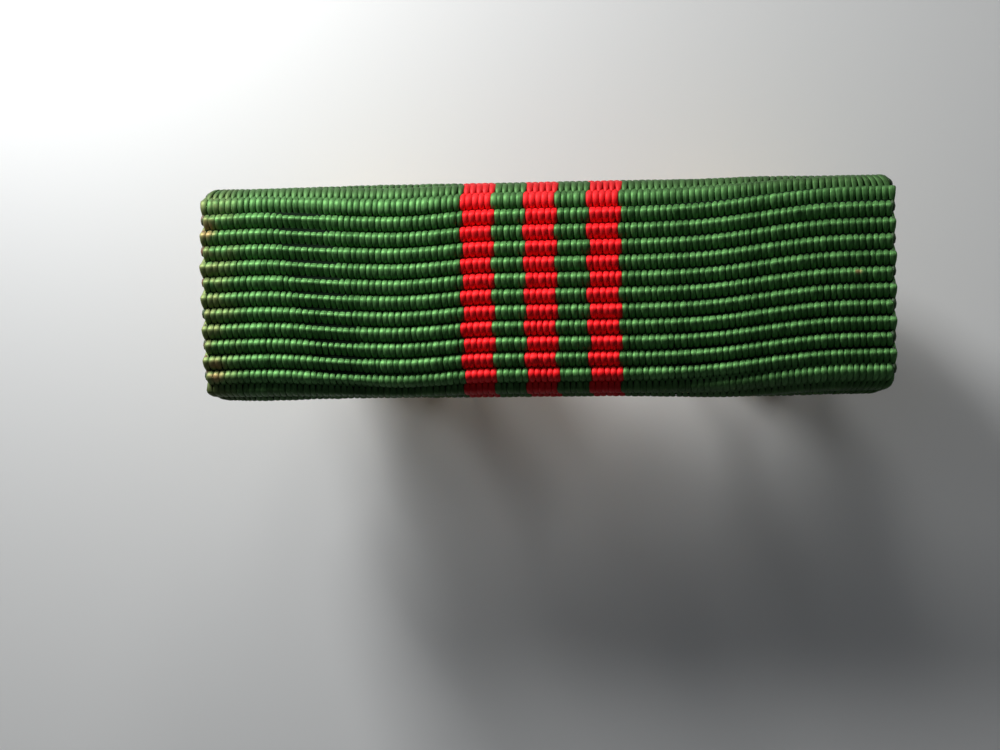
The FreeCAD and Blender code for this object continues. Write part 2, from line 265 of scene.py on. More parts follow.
@dataclass(frozen=True)
class SilkFinish:
    """Dyed silk warp: glossy along the filaments, soiled towards the worn end, with painted shade darkening
    the two long rims.

    Attributes:
        name: the material's name.
        deep: colour in the darker filaments.
        bright: colour in the lighter filaments.
        faded: colour where the end of the bar has yellowed.
        rim_shade: colour painted over the two long rims as shade.
        soil: colour of the stains.
        filament_scale: how fine the filaments are.
        filament_depth: their relief.
        lustre: share of the light that the silk gives back as coloured gloss.
        gloss: roughness of the lighter and of the darker filaments.
        worn_reach: how far the yellowing reaches from the left end.
        worn_edge: the outermost stretch, which has yellowed all over.
        worn_share: how strong the yellowing is.
        rim: distances from the bar's middle line between which the painted rim shade sets in.
        rim_shade_share: how strong that painted rim shade is.
        soil_share: how strong the stains are.
    """

    name: str
    deep: tuple[float, float, float, float]
    bright: tuple[float, float, float, float]
    faded: tuple[float, float, float, float]
    rim_shade: tuple[float, float, float, float]
    soil: tuple[float, float, float, float] = (0.36, 0.22, 0.1, 1)
    filament_scale: float = 2.2
    filament_depth: float = 0.012 * MM
    lustre: float = 0.55
    gloss: tuple[float, float] = (0.48, 0.64)
    worn_reach: float = 2.6 * MM
    worn_edge: float = 0.5 * MM
    worn_share: float = 0.7
    rim: tuple[float, float] = (4.3 * MM, 5.3 * MM)
    rim_shade_share: float = 0.7
    soil_share: float = 0.85

    def make(self, half_width: float, top: float) -> bpy.types.Material:
        """Builds the material.

        Args:
            half_width: from the bar's middle to its end.
            top: height of the ribbon's face.

        Returns:
            The material.
        """
        recipe = Recipe(self.name)
        strand = recipe.attribute("strand", "Vector")
        filaments = recipe.noise(strand, self.filament_scale, 5)
        tone = recipe.attribute("tone", "Fac")
        share = recipe.math("MULTIPLY_ADD", filaments, 0.9, recipe.math("MULTIPLY", tone, 0.2))
        dyed = recipe.mix(recipe.ramp(share, 0.25, 0.85), self.deep, self.bright)
        split = recipe.node("SeparateXYZ", Vector=recipe.places())
        blotches = recipe.noise(recipe.places(), 900, 4)
        end = -half_width - 0.1 * MM
        worn_end = recipe.ramp(split.outputs["X"], end, -half_width + self.worn_reach, 1, 0)
        worn = recipe.math("MULTIPLY", worn_end, recipe.ramp(blotches, 0.35, 0.62))
        edge = recipe.ramp(split.outputs["X"], end, -half_width + self.worn_edge, 1, 0)
        worn = recipe.math("MAXIMUM", worn, edge)
        colour = recipe.mix(recipe.math("MULTIPLY", worn, self.worn_share), dyed, self.faded)
        # Painted shade: the silk over the two long rims is darkened towards a shade colour.
        rim = recipe.ramp(recipe.math("ABSOLUTE", split.outputs["Y"]), *self.rim)
        colour = recipe.mix(recipe.math("MULTIPLY", rim, self.rim_shade_share), colour, self.rim_shade)
        for stain in STAINS:
            mark = recipe.spot((-half_width + stain.along, stain.up, top), stain.core, stain.fringe)
            mark = recipe.math("MULTIPLY", mark, recipe.ramp(blotches, 0.25, 0.55))
            colour = recipe.mix(recipe.math("MULTIPLY", mark, self.soil_share), colour, self.soil)
        recipe.set(
            Base_Color=colour,
            Roughness=recipe.ramp(filaments, 0.2, 0.8, *self.gloss),
            Metallic=self.lustre,
            Specular_IOR_Level=0.2,
        )
        recipe.bump(filaments, self.filament_depth, 0.6)
        return recipe.material


@dataclass(frozen=True)
class GroundFinish:
    """The weft cords and the depth of the cloth, which show only between threads. Their colours are much
    darker than the silk's own: partly the cloth's colour, partly painted shade between the threads.

    Attributes:
        name: the material's name.
        shaded_under_green: colour under the green threads, darkened as painted shade.
        shaded_under_red: colour under the red stripes, darkened as painted shade.
        shade: the darker places' share of those colours.
    """

    name: str = "weft_ground"
    shaded_under_green: tuple[float, float, float, float] = (0.003, 0.014, 0.004, 1)
    shaded_under_red: tuple[float, float, float, float] = (0.4, 0.003, 0.006, 1)
    shade: float = 0.5

    def shaded(self, colour: tuple[float, float, float, float]) -> tuple[float, float, float, float]:
        """The colour where the cloth is darker."""
        return (*(self.shade * channel for channel in colour[:3]), 1)

    def make(self, stripe_half: float, stripe_step: float) -> bpy.types.Material:
        """Builds the material.

        Args:
            stripe_half: half of a red stripe's width.
            stripe_step: from the middle stripe to each of the other two.

        Returns:
            The material.
        """
        recipe = Recipe(self.name)
        across = recipe.math("ABSOLUTE", recipe.node("SeparateXYZ", Vector=recipe.places()).outputs["X"])
        outer = recipe.math("ABSOLUTE", recipe.math("SUBTRACT", across, stripe_step))
        nearest = recipe.math("MINIMUM", across, outer)
        red = recipe.math("LESS_THAN", nearest, stripe_half)
        cloud = recipe.noise(recipe.places((4000, 900, 900)), 1)
        # Painted shade: both ground colours are kept darker than the silk, for the shade deep between the
        # threads.
        shaded_under_red = recipe.mix(cloud, self.shaded_under_red, self.shaded(self.shaded_under_red))
        shaded_under_green = recipe.mix(cloud, self.shaded_under_green, self.shaded(self.shaded_under_green))
        recipe.set(
            Base_Color=recipe.mix(red, shaded_under_green, shaded_under_red),
            Roughness=0.85,
            Specular_IOR_Level=0.1,
        )
        recipe.bump(cloud, 0.02 * MM, 0.5)
        return recipe.material


@dataclass(frozen=True)
class SelvedgeFinish:
    """Weft silk where it turns at the edges: green, browned by handling towards the left end.

    Attributes:
        name: the material's name.
        silk: colour of the clean silk.
        browned: colour of the browned silk.
        fade: how far from the bar's middle the browning is full on the left and gone on the right.
    """

    name: str = "selvedge_weft"
    silk: tuple[float, float, float, float] = (0.025, 0.06, 0.018, 1)
    browned: tuple[float, float, float, float] = (0.13, 0.05, 0.025, 1)
    fade: float = 5 * MM

    def make(self) -> bpy.types.Material:
        """Builds the material.

        Returns:
            The material.
        """
        recipe = Recipe(self.name)
        cloud = recipe.noise(recipe.places(), 1500, 3)
        fibres = recipe.noise(recipe.places((3000, 3000, 20000)), 1)
        split = recipe.node("SeparateXYZ", Vector=recipe.places())
        left = recipe.ramp(split.outputs["X"], -self.fade, self.fade, 1, 0)
        share = recipe.math("MULTIPLY", recipe.ramp(cloud, 0.4, 0.6), left)
        recipe.set(
            Base_Color=recipe.mix(share, self.silk, self.browned),
            Roughness=recipe.ramp(fibres, 0.2, 0.8, 0.5, 0.75),
        )
        recipe.bump(fibres, 0.02 * MM, 0.6)
        return recipe.material


@dataclass(frozen=True)
class MetalFinish:
    """Sheet metal or drawn wire with a worn plating.

    Attributes:
        name: the material's name.
        clean: colour of the bright metal.
        tarnish: colour where it has aged.
        aged: how much of the surface has aged, from 0 to 1.
        gloss: roughness of the bright metal and of the aged metal.
        grain: how fine the drawing lines are along X, Y and Z. A larger number is finer.
        spots: colour of the small dark spots.
        spot_share: how strong the spots are.
        metallic: share of the surface that is bare metal.
        scratch_depth: relief of lines and specks.
        cloud_scale: how fine the aged areas are.
        speck_scale: how fine the specks are.
    """

    name: str
    clean: tuple[float, float, float, float]
    tarnish: tuple[float, float, float, float]
    aged: float
    gloss: tuple[float, float]
    grain: tuple[float, float, float] = (600, 14000, 14000)
    spots: tuple[float, float, float, float] = (0.12, 0.08, 0.045, 1)
    spot_share: float = 0.75
    metallic: float = 1.0
    scratch_depth: float = 0.006 * MM
    cloud_scale: float = 420
    speck_scale: float = 3200

    def make(self) -> bpy.types.Material:
        """Builds the material.

        Returns:
            The material.
        """
        recipe = Recipe(self.name)
        cloud = recipe.noise(recipe.places(), self.cloud_scale, 6)
        lines = recipe.noise(recipe.places(self.grain), 1, 4)
        specks = recipe.noise(recipe.places(), self.speck_scale, 4)
        ageing = recipe.ramp(cloud, 0.66 - 0.4 * self.aged, 0.8 - 0.3 * self.aged)
        colour = recipe.mix(ageing, self.clean, self.tarnish)
        speckled = recipe.math("MULTIPLY", recipe.ramp(specks, 0.62, 0.74), recipe.ramp(cloud, 0.35, 0.7))
        colour = recipe.mix(recipe.math("MULTIPLY", speckled, self.spot_share), colour, self.spots)
        rough = recipe.ramp(ageing, 0, 1, *self.gloss)
        rough = recipe.math("ADD", rough, recipe.ramp(lines, 0.2, 0.8, -0.05, 0.08))
        recipe.set(Base_Color=colour, Roughness=rough, Metallic=self.metallic)
        relief = recipe.math("MULTIPLY_ADD", specks, 0.5, lines)
        recipe.bump(relief, self.scratch_depth, 0.7)
        return recipe.material


GREEN_SILK = SilkFinish(
    "green_silk_warp",
    (0.03, 0.1, 0.024, 1),
    (0.13, 0.33, 0.1, 1),
    faded=(0.24, 0.23, 0.09, 1),
    rim_shade=(0.03, 0.06, 0.018, 1),
)
RED_SILK = SilkFinish(
    "red_silk_warp",
    (0.8, 0.004, 0.008, 1),
    (1.0, 0.02, 0.024, 1),
    faded=(0.6, 0.08, 0.03, 1),
    rim_shade=(0.3, 0.004, 0.006, 1),
    lustre=0.2,
)
FORMER_BRASS = MetalFinish(
    "former_brass", (0.62, 0.45, 0.2, 1), (0.26, 0.16, 0.075, 1), aged=0.6, gloss=(0.38, 0.6)
)
PLATE_BRASS = MetalFinish(
    "plate_brass", (0.78, 0.56, 0.25, 1), (0.4, 0.25, 0.11, 1), aged=0.4, gloss=(0.27, 0.5)
)
POST_NICKEL = MetalFinish(
    "post_nickel",
    (0.72, 0.69, 0.63, 1),
    (0.4, 0.35, 0.28, 1),
    aged=0.25,
    gloss=(0.2, 0.42),
    grain=(9000, 9000, 900),
)
CLUTCH_GILT = MetalFinish(
    "clutch_gilt",
    (0.9, 0.66, 0.28, 1),
    (0.52, 0.34, 0.14, 1),
    aged=0.25,
    gloss=(0.16, 0.4),
    grain=(5000, 5000, 5000),
)
WING_GILT = MetalFinish(
    "wing_gilt",
    (0.9, 0.65, 0.29, 1),
    (0.5, 0.32, 0.14, 1),
    aged=0.35,
    gloss=(0.2, 0.42),
    grain=(9000, 1200, 9000),
)
SPRING_BRONZE = MetalFinish(
    "spring_bronze", (0.66, 0.4, 0.22, 1), (0.3, 0.17, 0.09, 1), aged=0.5, gloss=(0.3, 0.5)
)


# ---- Cloth -----------------------------------------------------------------------------------------
@dataclass(frozen=True)
class Band:
    """One woven colour band.

    Attributes:
        name: where it lies.
        ends: its warp ends that show on each rib.
        dye: its colour.
    """

    name: str
    ends: int
    dye: Dye


BANDS = (
    Band("field_left", 42, Dye.GREEN),
    Band("stripe_left", 5, Dye.RED),
    Band("gap_left", 5, Dye.GREEN),
    Band("stripe_middle", 5, Dye.RED),
    Band("gap_right", 5, Dye.GREEN),
    Band("stripe_right", 5, Dye.RED),
    Band("field_right", 42, Dye.GREEN),
)


@dataclass
class WrapPath:
    """The ribbon's middle surface in the bar's cross-section, from one cut end round the face to the other.

    It is a chain of straight runs and arcs that all bend the same way. Every run leaves in the direction in
    which the one before it ended.

    Attributes:
        thickness: the cloth's.
        crown: rise of the former's face from its edges to its middle.
        lip_flat: flat stretch of each lip.
        lip_sheet: thickness of the former's metal.
        hem_gap: the cut end stops this short of the rim's curve.
    """

    thickness: float
    crown: float = 0.2 * MM
    lip_flat: float = 0.75 * MM
    lip_sheet: float = 0.4 * MM
    hem_gap: float = 0.05 * MM

    def __post_init__(self) -> None:
        """Works out each run's start, direction and bend from the former's box."""
        low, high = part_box("front_former")
        half = self.thickness / 2
        rim = (high.z - low.z - self.crown) / 2
        rim_y = high.y - rim
        reach = (rim_y**2 + self.crown**2) / (2 * self.crown)
        tilt = math.asin(rim_y / reach)
        hem = self.lip_flat - self.hem_gap
        lip_radius = self.lip_sheet / 2 + half
        rim_turn = math.pi - tilt
        first = [
            (hem, 0.0),
            (lip_radius * math.pi, math.pi),
            (self.lip_flat, 0.0),
            ((rim + half) * rim_turn, rim_turn),
        ]
        runs = [*first, ((reach + rim + half) * 2 * tilt, 2 * tilt), *first[::-1]]
        lengths, turns = np.array(runs).T
        self.bends = turns / lengths
        self.starts = np.concatenate([[0], np.cumsum(lengths)[:-1]])
        self.length = float(lengths.sum())
        self.headings = math.pi + np.concatenate([[0], np.cumsum(turns)[:-1]])
        y, z = rim_y - self.hem_gap, low.z + self.lip_sheet + half
        points = []
        for length, bend, heading in zip(lengths, self.bends, self.headings):
            points.append((y, z))
            ahead, up = self._step(length, bend, heading)
            y, z = y + float(ahead), z + float(up)
        self.points = np.array(points)

    @staticmethod
    def _step(along: np.ndarray, bend: np.ndarray, heading: np.ndarray) -> tuple[np.ndarray, np.ndarray]:
        """How far a run of one bend has gone.

        Args:
            along: distance along the run.
            bend: its turn for each metre.
            heading: its direction where it starts, as an angle from +Y.

        Returns:
            How far it has gone in Y and in Z.
        """
        straight = np.abs(bend) < STRAIGHT
        safe = np.where(straight, 1, bend)
        turned = heading + bend * along
        ahead = np.where(straight, along * np.cos(heading), (np.sin(turned) - np.sin(heading)) / safe)
        up = np.where(straight, along * np.sin(heading), (np.cos(heading) - np.cos(turned)) / safe)
        return ahead, up

    def place(self, cloth: np.ndarray) -> np.ndarray:
        """Bends flat cloth round the former.

        Args:
            cloth: (across, along, height above the middle surface) of each point.

        Returns:
            (x, y, z) of each point.
        """
        across, along, height = cloth.T
        run = np.clip(np.searchsorted(self.starts, along, side="right") - 1, 0, len(self.starts) - 1)
        local = along - self.starts[run]
        ahead, up = self._step(local, self.bends[run], self.headings[run])
        turned = self.headings[run] + self.bends[run] * local
        y = self.points[run, 0] + ahead + height * np.sin(turned)
        z = self.points[run, 1] + up - height * np.cos(turned)
        return np.stack([across, y, z], 1)


@dataclass(frozen=True)
class Crease:
    """A slanting dent across the cloth, left of the middle. Its lengths are in millimetres.

    Attributes:
        place: where its line crosses the bar's middle line, along the bar.
        slant: how far the line moves towards the left end for each millimetre up.
        width: how far it reaches to both sides of its line.
        depth: how deep it is there.
        end: how far up and down it runs.
        fade: the stretch over which it ends.
        pinch: how much leaner it makes the ribs.
    """

    place: float = -11.2
    slant: float = 0.28
    width: float = 1.3
    depth: float = 0.13
    end: float = 5.6
    fade: float = 2.0
    pinch: float = 1.6

    def share(self, across: np.ndarray, up: np.ndarray) -> np.ndarray:
        """How much of the dent there is at each place.

        Args:
            across: places along the bar, from its middle.
            up: places towards its upper edge, from its middle line.

        Returns:
            Shares from 0, none, to 1, at the dent's line.
        """
        line = self.place - self.slant * up
        near = np.exp(-(((across - line) / self.width) ** 2))
        return near * smooth_step((self.end - np.abs(up)) / self.fade)


@dataclass(frozen=True)
class RimTension:
    """How tension over the bar's two long rims flattens the ribs. Its lengths are in millimetres.

    Attributes:
        most: the largest share of the ribs' relief that is lost.
        start: distance from the bar's middle line, along the cloth, at which it sets in.
        start_fade: the stretch over which it does so.
        end: distance at which it ends, behind the rim.
        end_fade: the stretch over which it does so.
        ground_lift: how far the ground follows the threads where the ribs are flat.
    """

    most: float = 0.6
    start: float = 4.2
    start_fade: float = 0.9
    end: float = 8.0
    end_fade: float = 1.0
    ground_lift: float = 0.4

    def share(self, away: np.ndarray) -> np.ndarray:
        """The lost share of the relief at distances from the middle line."""
        rising = smooth_step((away - self.start) / self.start_fade)
        return self.most * rising * (1 - smooth_step((away - self.end) / self.end_fade))


@dataclass(frozen=True)
class Thread:
    """A warp thread's rise, width and thickness as it passes over and under the weft cords.

    Attributes:
        rise: how high its line climbs above and below the middle surface.
        top_width: half of its width on top of a rib, as a share of the bead's pitch.
        low_width: the same where it passes under.
        half_thick: half of its thickness on top of a rib.
        low_thick: its thickness where it passes under, as a share of that.
        skew: how far the crests lean towards the bar's upper edge, as an angle of the wave.
        lean_skew: how much more they do on the leanest ribs.
        narrowness: power of the wave. A larger one makes narrower crests.
        lean_narrowness: how much larger it is on the leanest ribs.
        most_lean: leanness from which it grows no further.
        lean_thinning: share of the thickness that the leanest ribs lose.
        uneven_rise: the wobble's share that goes into the height.
        stray: how far threads lie from their even places, as a share of the bead's pitch.
        uneven: how much beads differ in width.
        sides: flat sides of its tube.
        rings: rings of the tube along each rib.
    """

    rise: float = 0.305 * MM
    top_width: float = 0.58
    low_width: float = 0.2
    half_thick: float = 0.07 * MM
    low_thick: float = 0.85
    skew: float = 0.45
    lean_skew: float = 0.2
    narrowness: float = 0.9
    lean_narrowness: float = 2.0
    most_lean: float = 1.4
    lean_thinning: float = 0.35
    uneven_rise: float = 0.6
    stray: float = 0.02
    uneven: float = 0.08
    sides: int = 8
    rings: int = 8

    def wave(self, phase: np.ndarray, lean: np.ndarray, lay: Lay) -> np.ndarray:
        """The thread's way over and under the cords.

        Args:
            phase: half a turn for each rib.
            lean: how lean the ribs are.
            lay: which ribs it rises over.

        Returns:
            Heights from -1, under, to 1, on top.
        """
        skew = self.skew + self.lean_skew * np.clip(lean, 0, 1)
        swing = lay.value * np.cos(phase - skew * np.sin(phase) ** 2)
        power = self.narrowness + self.lean_narrowness * np.clip(lean, 0, self.most_lean)
        return np.sign(swing) * np.abs(swing) ** power

    def half_width(self, raised: np.ndarray) -> np.ndarray:
        """Half of the width, as a share of the bead's pitch, from 0, under, to 1, on top."""
        return self.low_width + (self.top_width - self.low_width) * raised

    def half_thickness(self, raised: np.ndarray, lean: np.ndarray) -> np.ndarray:
        """Half of the thickness, from 0, under, to 1, on top."""
        kept = 1 - self.lean_thinning * np.clip(lean, 0, 1)
        return self.half_thick * (self.low_thick + (1 - self.low_thick) * raised) * kept


@dataclass(frozen=True)
class Ground:
    """The corrugated cloth under the warp.

    Attributes:
        cord_half: half of its thickness where a weft cord runs.
        web_half: half of its thickness between two cords.
        inset: how far it stays inside each selvedge.
        columns: faces across the ribbon.
        rows: faces along it for each rib.
    """

    cord_half: float = 0.16 * MM
    web_half: float = 0.03 * MM
    inset: float = 0.12 * MM
    columns: int = 110
    rows: int = 6

    def half_thickness(self, ribs: np.ndarray) -> np.ndarray:
        """Half of its thickness at places counted in ribs."""
        return self.web_half + (self.cord_half - self.web_half) * np.cos(math.pi * ribs) ** 2


@dataclass(frozen=True)
class EdgeTurn:
    """The small rounded loop that the weft makes at the end of a rib.

    Attributes:
        half_size: half of its size across, along and through the cloth.
        uneven: how much loops differ in size.
        inset: how far its middle lies inside the selvedge.
        stray: how much that differs.
        segments: faces round the loop and from end to end.
    """

    half_size: tuple[float, float, float] = (0.15 * MM, 0.3 * MM, 0.24 * MM)
    uneven: float = 0.08
    inset: float = 0.06 * MM
    stray: float = 0.012
    segments: tuple[int, int] = (8, 6)


@dataclass
class Ribbon:
    """The woven ribbon: warp threads in seven bands, the weft ground under them and the turns at the edges.

    Attributes:
        rib_pitch: from one crosswise rib to the next.
        rib_offset: how far above the bar's middle line the first rib lies.
        thread: a warp thread's shape.
        under: the ground's shape.
        turn: the shape of the turns at the edges.
        crease: the dent left of the middle.
        tension: what the two long rims do to the ribs.
        hem_end: stretch at each cut end that lies flat, in millimetres.
        hem_fade: the stretch after it over which drift, dent and bulge set in.
        bulge_start: distance below the bar's middle line at which the lower edge starts to stand out.
        bulge_fade: the stretch over which it does so.
        corner_run: how far from the end a corner pulls the rim in, as a share of its radius.
        seed: start of the random numbers.
        pieces: what has been made.
    """

    rib_pitch: float = 0.8 * MM
    rib_offset: float = -0.2 * MM
    thread: Thread = Thread()
    under: Ground = Ground()
    turn: EdgeTurn = EdgeTurn()
    crease: Crease = Crease()
    tension: RimTension = RimTension()
    hem_end: float = 1.4
    hem_fade: float = 1.8
    bulge_start: float = 4.2
    bulge_fade: float = 1.6
    corner_run: float = 3.5
    seed: int = 7
    pieces: list[bpy.types.Object] = field(default_factory=list)

    # How far the ribs climb towards the bar's upper edge as they run along it, in millimetres.
    drift = SoftLine(
        (
            (-17.5, 0.0), (-14.2, 0.1), (-12.2, 0.0), (-9.5, -0.22), (-7.2, -0.3), (-5.2, -0.18),
            (-3.6, -0.02), (5.0, 0.0), (7.5, 0.08), (9.5, 0.24), (12.3, 0.6), (14.2, 0.79), (17.5, 0.84),
        ),
        0.9,
    )
    # How lean the ribs are, from 0, with full tops, to 1, with thin crests.
    leanness = SoftLine(
        (
            (-17.5, 0.35), (-14.0, 0.2), (-9.0, 0.0), (-4.2, 0.05), (4.0, 0.2), (6.0, 0.5), (8.6, 0.8),
            (11.2, 0.4), (13.4, 0.6), (17.5, 0.65),
        ),
        0.8,
    )
    # How far the cloth stands out over the lower edge, in millimetres.
    lower_bulge = SoftLine(
        ((-17.5, 0.02), (-15.0, 0.12), (-11.0, 0.0), (4.0, 0.0), (9.5, 0.17), (14.0, 0.02), (17.5, 0.0)),
        0.9,
    )
    # How round each corner of the outline is: left or right end, lower or upper edge.
    corner_radii = {(-1, 1): 0.6 * MM, (-1, -1): 0.7 * MM, (1, 1): 0.8 * MM, (1, -1): 1.25 * MM}
    # How the silk's pattern moves on from one thread to the next, and how it is stretched along them.
    strand_step = (3.7, 0, 1.3)
    strand_stretch = (1, 0.9 / MM, 1)

    def __post_init__(self) -> None:
        """Takes the cloth's size from its CAD solids."""
        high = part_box("ribbon_green_bands")[1]
        self.half_width, self.half_height = high.x, high.y
        self.top = high.z
        self.path = WrapPath(high.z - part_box("front_former")[1].z)
        self.bead_pitch = 2 * self.half_width / sum(band.ends for band in BANDS)
        self.centre = self.path.length / 2 - self.rib_offset
        self.ribs = int(self.path.length / self.rib_pitch)
        self.chance = np.random.default_rng(self.seed)

    # -- the cloth's own coordinates --
    def shift(self, cloth: np.ndarray) -> np.ndarray:
        """Moves flat cloth as it lies in use: drifting ribs, the crease, the bulge and the pulled-in corners.

        Args:
            cloth: (across, along, height) of each point on an even, flat ribbon.

        Returns:
            (x, y, z) of each point on the bar.
        """
        across, along, height = cloth.T.copy()
        end = np.minimum(along, self.path.length - along)
        free = smooth_step((end - self.hem_end * MM) / (self.hem_fade * MM))
        along = along - self.drift.at(across / MM) * MM * free
        lower = smooth_step((along - self.centre - self.bulge_start * MM) / (self.bulge_fade * MM)) * free
        height = height + self.lower_bulge.at(across / MM) * MM * lower
        height = height - self.crease.depth * MM * self.creased(across, along) * free
        placed = self.path.place(np.stack([across, along, height], 1))
        return self.round_corners(placed)

    def creased(self, across: np.ndarray, along: np.ndarray) -> np.ndarray:
        """The crease's share at places on the cloth, from 0 to 1."""
        return self.crease.share(across / MM, (self.centre - along) / MM)

    def tightness(self, along: np.ndarray) -> np.ndarray:
        """The share of the ribs' relief that the rims' tension takes away."""
        return self.tension.share(np.abs(along - self.centre) / MM)

    def round_corners(self, placed: np.ndarray) -> np.ndarray:
        """Pulls the ends of the outermost ribs in, so that the bar's corners are round from in front.

        Args:
            placed: (x, y, z) of each point.

        Returns:
            The same points, moved along X.
        """
        x, y, z = placed.T.copy()
        pulled = x.copy()
        for (end, edge), radius in self.corner_radii.items():
            depth = np.clip(edge * y - (self.half_height - radius), 0, radius)
            pull = radius - np.sqrt(np.maximum(radius**2 - depth**2, 0))
            run = self.corner_run * radius
            near = smooth_step((end * x - (self.half_width - run)) / run)
            pulled -= end * pull * near
        return np.stack([pulled, y, z], 1)

    # -- warp threads --
    def unit_thread(self) -> bpy.types.Mesh:
        """Makes a straight tube of radius 1 along Y, as long as the cloth, with rings for every rib.

        Returns:
            The tube's mesh.
        """
        shape = bmesh.new()
        turned = Matrix.Translation((0, self.path.length / 2, 0)) @ Matrix.Rotation(math.radians(-90), 4, "X")
        bmesh.ops.create_cone(
            shape,
            cap_ends=True,
            segments=self.thread.sides,
            radius1=1,
            radius2=1,
            depth=self.path.length,
            matrix=turned,
        )
        lengthwise = [e for e in shape.edges if abs(e.verts[0].co.y - e.verts[1].co.y) > self.rib_pitch]
        cuts = round(self.path.length / self.rib_pitch * self.thread.rings)
        bmesh.ops.subdivide_edges(shape, edges=lengthwise, cuts=cuts, use_grid_fill=False)
        return self.finished(shape, "unit_thread")

    def thread_points(self, unit: np.ndarray, place: float, lay: Lay, wobble: np.ndarray) -> np.ndarray:
        """Shapes one thread on the flat ribbon.

        Args:
            unit: the unit thread's points.
            place: the thread's middle line, across the ribbon.
            lay: which ribs it rises over.
            wobble: a small number for each rib, by which this thread's beads differ there.

        Returns:
            (across, along, height) of each point.
        """
        side, along, up = unit.T
        ribs = (along - self.centre) / self.rib_pitch
        own = np.interp(ribs, np.arange(len(wobble)) - len(wobble) // 2, wobble)
        lean = self.leanness.at(np.full_like(along, place) / MM)
        lean = lean + self.crease.pinch * self.creased(place, along)
        wave = self.thread.wave(math.pi * ribs, lean, lay)
        raised = (1 + wave) / 2
        width = self.bead_pitch * self.thread.half_width(raised) * (1 + own)
        tight = self.tightness(along)
        line = self.thread.rise * (wave * (1 + self.thread.uneven_rise * own) * (1 - tight) + tight)
        thick = self.thread.half_thickness(raised, lean)
        return np.stack([place + side * width, along, line + up * thick], 1)

    def weave(self, band: Band, first: int, lay: Lay, material: bpy.types.Material) -> None:
        """Makes the threads of one band that rise over the same ribs.

        Args:
            band: the colour band.
            first: the number of its first bead from the left edge.
            lay: which ribs the threads rise over.
            material: the silk.
        """
        template = self.unit_thread()
        unit = self.read(template)
        cloth = bmesh.new()
        tones, strands = [], []
        for number in range(first, first + band.ends):
            side = number + 0.5 - 0.25 * lay.value + self.chance.normal(0, self.thread.stray)
            place = -self.half_width + self.bead_pitch * side
            wobble = self.chance.normal(0, self.thread.uneven, self.ribs + 4)
            points = self.shift(self.thread_points(unit, place, lay, wobble))
            template.vertices.foreach_set("co", points.ravel())
            cloth.from_mesh(template)
            tones.append(np.full(len(unit), self.chance.uniform(0, 1)))
            strands.append(unit * np.array(self.strand_stretch) + number * np.array(self.strand_step))
        bpy.data.meshes.remove(template)
        mesh = self.finished(cloth, f"warp_{band.name}_{lay.name.lower()}")
        mesh.attributes.new("tone", "FLOAT", "POINT").data.foreach_set("value", np.concatenate(tones))
        mesh.attributes.new("strand", "FLOAT_VECTOR", "POINT").data.foreach_set(
            "vector", np.concatenate(strands).ravel()
        )
        self.add(mesh, material, band.dye)

    # -- ground and edges --
    def ground(self, material: bpy.types.Material) -> bpy.types.Object:
        """Makes the weft cords with the web between them, as one corrugated cloth under the warp.

        Args:
            material: the ground's.

        Returns:
            The piece, in place on the bar.
        """
        shape = bmesh.new()
        length = self.path.length
        inset = self.half_width - self.under.inset
        sized = Matrix.Translation((0, length / 2, 0)) @ Matrix.Diagonal((inset, length / 2, 1, 1))
        rows = self.ribs * self.under.rows
        bmesh.ops.create_grid(shape, x_segments=self.under.columns, y_segments=rows, size=1, matrix=sized)
        bmesh.ops.solidify(shape, geom=shape.faces[:], thickness=1)
        mesh = self.finished(shape, "weft_ground")
        points = self.read(mesh)
        upper = points[:, 2] > points[:, 2].mean()
        half = self.under.half_thickness((points[:, 1] - self.centre) / self.rib_pitch)
        lift = self.tension.ground_lift * self.thread.rise * self.tightness(points[:, 1])
        points[:, 2] = np.where(upper, half, -half) + lift
        mesh.vertices.foreach_set("co", self.shift(points).ravel())
        self.face_out(mesh)
        return self.add(mesh, material, Dye.GREEN)

    def edge_turns(self, side: str, material: bpy.types.Material) -> None:
        """Makes the weft's turns at one selvedge: a small rounded loop at the end of every rib.

        Args:
            side: left or right.
            material: the selvedge's.
        """
        shape = bmesh.new()
        end = -1 if side == "left" else 1
        first = math.ceil(-self.centre / self.rib_pitch + 0.5)
        last = math.floor((self.path.length - self.centre) / self.rib_pitch - 0.5)
        across, along, through = self.turn.half_size
        round_faces, end_faces = self.turn.segments
        for rib in range(first, last + 1):
            size = 1 + self.chance.normal(0, self.turn.uneven)
            reach = self.half_width - self.turn.inset + self.chance.normal(0, self.turn.stray) * MM
            place = Matrix.Translation((end * reach, self.centre + rib * self.rib_pitch, 0))
            loop = place @ Matrix.Diagonal((across * size, along * size, through, 1))
            bmesh.ops.create_uvsphere(
                shape, u_segments=round_faces, v_segments=end_faces, radius=1, matrix=loop
            )
        mesh = self.finished(shape, f"selvedge_turns_{side}")
        mesh.vertices.foreach_set("co", self.shift(self.read(mesh)).ravel())
        self.add(mesh, material, Dye.GREEN)

    # -- shared steps --
    @staticmethod
    def finished(shape: bmesh.types.BMesh, name: str) -> bpy.types.Mesh:
        """Turns a finished shape into a mesh.

        Args:
            shape: the shape, which is freed.
            name: the mesh's name.

        Returns:
            The mesh.
        """
        mesh = bpy.data.meshes.new(name)
        shape.to_mesh(mesh)
        shape.free()
        return mesh

    @staticmethod
    def read(mesh: bpy.types.Mesh) -> np.ndarray:
        """Reads a mesh's points.

        Args:
            mesh: the mesh.

        Returns:
            One row of x, y and z for each point.
        """
        points = np.empty(len(mesh.vertices) * 3)
        mesh.vertices.foreach_get("co", points)
        return points.reshape(-1, 3)

    @staticmethod
    def face_out(mesh: bpy.types.Mesh) -> None:
        """Turns a closed mesh's faces outwards.

        Args:
            mesh: the mesh, which is changed.
        """
        shape = bmesh.new()
        shape.from_mesh(mesh)
        bmesh.ops.recalc_face_normals(shape, faces=shape.faces[:])
        shape.to_mesh(mesh)
        shape.free()

